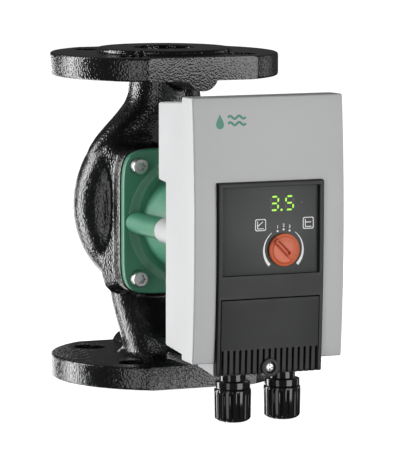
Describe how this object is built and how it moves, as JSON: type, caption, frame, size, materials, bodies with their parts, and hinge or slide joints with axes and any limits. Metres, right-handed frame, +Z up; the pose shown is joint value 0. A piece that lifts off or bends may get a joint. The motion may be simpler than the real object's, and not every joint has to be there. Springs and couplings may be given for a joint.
{
  "type": "circulator pump",
  "caption": "Wet-rotor inline heating circulator with cast-iron flanged volute casing, green motor and electronic control module with setting knob, digits and cable glands.",
  "frame": {"origin": "centre of the lower pipe flange's raised face, on the pipe axis", "axes": "+Z up along the pipe axis, from the suction flange to the discharge flange; -Y towards the control panel, along the motor axis; +X to the right of somebody who faces the panel"},
  "size_m": [0.15, 0.2379, 0.2247],
  "materials": {
    "black_cast_iron": "glossy black paint over a fine cast skin",
    "green_paint": "satin green paint on cast aluminium",
    "light_grey_plastic": "fine-grained satin",
    "mid_grey_plastic": "fine-grained satin",
    "dark_plastic": "fine-grained satin",
    "black_plastic": "moulded, half gloss",
    "white_plastic": "moulded",
    "smoked_lens": "smooth, half gloss",
    "green_digits": "lit segments",
    "knob_red": "moulded, half gloss",
    "circuit_board": "solder mask",
    "capacitor_sleeve": "dark sleeve over an aluminium can",
    "rubber": "matt",
    "carbon": "ground carbon",
    "ceramic": "ground ceramic",
    "stainless_steel": "drawn and turned",
    "zinc_plated_steel": "zinc plated",
    "aluminium": "extruded",
    "stator_steel": "laminated",
    "copper_winding": "enamelled copper wire"
  },
  "bodies": {
    "pump": {"pump_housing": "black_cast_iron", "motor_housing": "green_paint", "module_rear_shell": "light_grey_plastic", "module_front_cover": "light_grey_plastic", "panel_frame": "dark_plastic", "display_lens": "smoked_lens", "digit_display": "green_digits", "terminal_box": "mid_grey_plastic", "gland_body_left": "black_plastic", "gland_body_right": "black_plastic", "gland_seal_left": "rubber", "gland_seal_right": "rubber", "wear_ring": "stainless_steel", "impeller_side_bearing": "carbon", "motor_side_bearing": "carbon", "bearing_plate": "stainless_steel", "rotor_can": "stainless_steel", "housing_gasket": "rubber", "stator_core": "stator_steel", "motor_plug": "black_plastic", "module_gasket": "rubber", "power_board": "circuit_board", "display_board": "circuit_board", "capacitor_1": "capacitor_sleeve", "capacitor_2": "capacitor_sleeve", "line_choke": "copper_winding", "power_heat_sink": "aluminium", "knob_encoder": "zinc_plated_steel", "terminal_block": "white_plastic", "module_screw_left": "zinc_plated_steel", "module_screw_right": "zinc_plated_steel", "stator_coil_1": "copper_winding", "stator_coil_2": "copper_winding", "stator_coil_3": "copper_winding", "stator_coil_4": "copper_winding", "stator_coil_5": "copper_winding", "stator_coil_6": "copper_winding", "motor_screw_1": "zinc_plated_steel", "motor_screw_2": "zinc_plated_steel", "motor_screw_3": "zinc_plated_steel", "motor_screw_4": "zinc_plated_steel"},
    "rotor": {"impeller": "black_plastic", "rotor_shaft": "ceramic", "rotor_magnet": "stainless_steel", "thrust_disc": "ceramic"},
    "knob": {"setting_knob": "knob_red"},
    "terminal_lid": {"terminal_cover": "black_plastic"},
    "lid_screw": {"terminal_cover_screw": "zinc_plated_steel"},
    "left_nut": {"gland_nut_left": "black_plastic"},
    "right_nut": {"gland_nut_right": "black_plastic"}
  },
  "joints": [
    {"name": "rotor_spin", "type": "hinge", "parent": "pump", "child": "rotor", "pos_m": [0, 0, 0.11], "axis": [0, 1, 0], "continuous": true},
    {"name": "knob_turn", "type": "hinge", "parent": "pump", "child": "knob", "pos_m": [0.00915, -0.168, 0.1039], "axis": [0, -1, 0], "range_deg": [-184, 94]},
    {"name": "lid_slide", "type": "slide", "parent": "pump", "child": "terminal_lid", "axis": [0, -1, 0], "range_m": [0, 0.04]},
    {"name": "lid_screw_turn", "type": "hinge", "parent": "terminal_lid", "child": "lid_screw", "pos_m": [0, -0.165, 0.0306], "axis": [0, -1, 0], "range_deg": [0, 1080]},
    {"name": "left_nut_turn", "type": "hinge", "parent": "pump", "child": "left_nut", "pos_m": [-0.017, -0.149, 0], "axis": [0, 0, -1], "range_deg": [0, 1080]},
    {"name": "right_nut_turn", "type": "hinge", "parent": "pump", "child": "right_nut", "pos_m": [0.017, -0.149, 0], "axis": [0, 0, -1], "range_deg": [0, 1080]}
  ]
}
